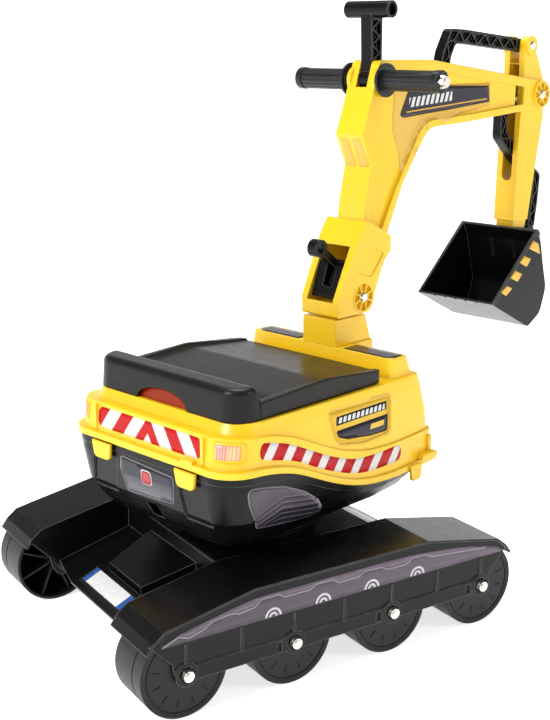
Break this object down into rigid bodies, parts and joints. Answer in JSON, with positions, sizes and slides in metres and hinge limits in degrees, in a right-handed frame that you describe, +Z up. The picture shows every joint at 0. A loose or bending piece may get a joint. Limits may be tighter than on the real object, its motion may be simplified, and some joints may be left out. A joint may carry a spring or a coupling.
{
  "type": "ride-on toy excavator",
  "caption": "Ride-on toy excavator: slewing body with a hinged seat over a bin, a tilting boom whose T handle works the arm and bucket, on a base shaped like crawler tracks with wheels.",
  "frame": {"origin": "centre of the bounding box's footprint, on the floor", "axes": "+X is the vehicle's right, +Y is its front, +Z is up; the upper body is slewed 13.14 degrees to the left at rest"},
  "size_m": [0.3962, 0.7952, 0.6896],
  "materials": {
    "yellow_plastic": "satin moulded",
    "black_plastic": "satin moulded",
    "wheel_plastic": "fine moulded grain",
    "zinc_steel": "zinc plated",
    "plate_sheet": "printed, blank"
  },
  "bodies": {
    "undercarriage": {"track_frame": "black_plastic", "axle_rods": "zinc_steel", "axle_nuts": "zinc_steel", "licence_plate": "plate_sheet", "turntable_ring": "black_plastic"},
    "upper_body": {"bowl": "black_plastic", "body_shell": "yellow_plastic", "rim_clips": "yellow_plastic", "storage_bin": "yellow_plastic", "kingpin": "zinc_steel", "boom_bracket": "yellow_plastic", "bracket_screws": "zinc_steel", "seat_hinge_pins": "zinc_steel"},
    "seat": {"seat_lid": "black_plastic"},
    "boom": {"boom_half_right": "yellow_plastic", "boom_half_left": "yellow_plastic", "boom_screws": "zinc_steel", "boom_base_bolt": "zinc_steel", "boom_tip_bolt": "zinc_steel", "handlebar_rod": "zinc_steel", "grip_right": "black_plastic", "grip_left": "black_plastic", "handlebar_nuts": "zinc_steel", "link_anchor_pin": "zinc_steel", "latch_block": "black_plastic", "latch_pin": "zinc_steel"},
    "lock": {"latch_lever": "black_plastic"},
    "lever": {"t_lever": "black_plastic"},
    "upper_rod": {"top_link": "black_plastic", "top_link_pin": "zinc_steel"},
    "stick": {"dipper": "yellow_plastic", "dipper_head_bolt": "zinc_steel", "bucket_pivot_bolt": "zinc_steel"},
    "digger": {"bucket": "black_plastic", "bucket_link_bolt": "zinc_steel"},
    "lower_rod": {"bucket_link": "black_plastic"},
    "wheel_right_rear_body": {"wheel_right_rear": "wheel_plastic"},
    "wheel_right_mid_rear_body": {"wheel_right_mid_rear": "wheel_plastic"},
    "wheel_right_mid_front_body": {"wheel_right_mid_front": "wheel_plastic"},
    "wheel_right_front_body": {"wheel_right_front": "wheel_plastic"},
    "wheel_left_rear_body": {"wheel_left_rear": "wheel_plastic"},
    "wheel_left_mid_rear_body": {"wheel_left_mid_rear": "wheel_plastic"},
    "wheel_left_mid_front_body": {"wheel_left_mid_front": "wheel_plastic"},
    "wheel_left_front_body": {"wheel_left_front": "wheel_plastic"}
  },
  "joints": [
    {"name": "body_slew", "type": "hinge", "parent": "undercarriage", "child": "upper_body", "pos_m": [0, -0.16058, 0.112], "axis": [0, 0, 1], "continuous": true},
    {"name": "seat_hinge", "type": "hinge", "parent": "upper_body", "child": "seat", "pos_m": [-0.02137, -0.06904, 0.279], "axis": [-0.9738, -0.2273, 0], "range_deg": [0, 58]},
    {"name": "boom_tilt", "type": "hinge", "parent": "upper_body", "child": "boom", "pos_m": [-0.03717, -0.00136, 0.3483], "axis": [-0.9738, -0.2273, 0], "range_deg": [0, 40]},
    {"name": "lock_swing", "type": "hinge", "parent": "boom", "child": "lock", "pos_m": [-0.03342, -0.01743, 0.384], "axis": [-0.9738, -0.2273, 0], "range_deg": [0, 35]},
    {"name": "lever_swing", "type": "hinge", "parent": "boom", "child": "lever", "pos_m": [-0.04558, 0.03467, 0.6], "axis": [0.9738, 0.2273, 0], "range_deg": [-13.5, 16.5]},
    {"name": "stick_swing", "type": "hinge", "parent": "boom", "child": "stick", "pos_m": [-0.12267, 0.36489, 0.5735], "axis": [0.9738, 0.2273, 0], "range_deg": [-16.79, 13.76]},
    {"name": "upper_rod_turn", "type": "hinge", "parent": "stick", "child": "upper_rod", "pos_m": [-0.11721, 0.34152, 0.638], "axis": [0.9738, 0.2273, 0], "range_deg": [-13.38, 16.32]},
    {"name": "bucket_turn", "type": "hinge", "parent": "stick", "child": "digger", "pos_m": [-0.11594, 0.33607, 0.38], "axis": [0.9738, 0.2273, 0], "range_deg": [-14.31, 11.73]},
    {"name": "lower_rod_turn", "type": "hinge", "parent": "digger", "child": "lower_rod", "pos_m": [-0.12594, 0.37892, 0.375], "axis": [0.9738, 0.2273, 0], "range_deg": [-11.13, 13.58]},
    {"name": "wheel_right_rear_spin", "type": "hinge", "parent": "undercarriage", "child": "wheel_right_rear_body", "pos_m": [0.1585, -0.34958, 0.048], "axis": [1, 0, 0], "continuous": true},
    {"name": "wheel_right_mid_rear_spin", "type": "hinge", "parent": "undercarriage", "child": "wheel_right_mid_rear_body", "pos_m": [0.1585, -0.22358, 0.048], "axis": [1, 0, 0], "continuous": true},
    {"name": "wheel_right_mid_front_spin", "type": "hinge", "parent": "undercarriage", "child": "wheel_right_mid_front_body", "pos_m": [0.1585, -0.09758, 0.048], "axis": [1, 0, 0], "continuous": true},
    {"name": "wheel_right_front_spin", "type": "hinge", "parent": "undercarriage", "child": "wheel_right_front_body", "pos_m": [0.1585, 0.02842, 0.048], "axis": [1, 0, 0], "continuous": true},
    {"name": "wheel_left_rear_spin", "type": "hinge", "parent": "undercarriage", "child": "wheel_left_rear_body", "pos_m": [-0.1585, -0.34958, 0.048], "axis": [1, 0, 0], "continuous": true},
    {"name": "wheel_left_mid_rear_spin", "type": "hinge", "parent": "undercarriage", "child": "wheel_left_mid_rear_body", "pos_m": [-0.1585, -0.22358, 0.048], "axis": [1, 0, 0], "continuous": true},
    {"name": "wheel_left_mid_front_spin", "type": "hinge", "parent": "undercarriage", "child": "wheel_left_mid_front_body", "pos_m": [-0.1585, -0.09758, 0.048], "axis": [1, 0, 0], "continuous": true},
    {"name": "wheel_left_front_spin", "type": "hinge", "parent": "undercarriage", "child": "wheel_left_front_body", "pos_m": [-0.1585, 0.02842, 0.048], "axis": [1, 0, 0], "continuous": true}
  ],
  "couplings": [
    {"joint": "stick_swing", "follows": "lever_swing", "ratio": -1.0083},
    {"joint": "upper_rod_turn", "follows": "lever_swing", "ratio": 0.9803},
    {"joint": "bucket_turn", "follows": "lever_swing", "ratio": -0.858},
    {"joint": "lower_rod_turn", "follows": "lever_swing", "ratio": 0.8137}
  ]
}
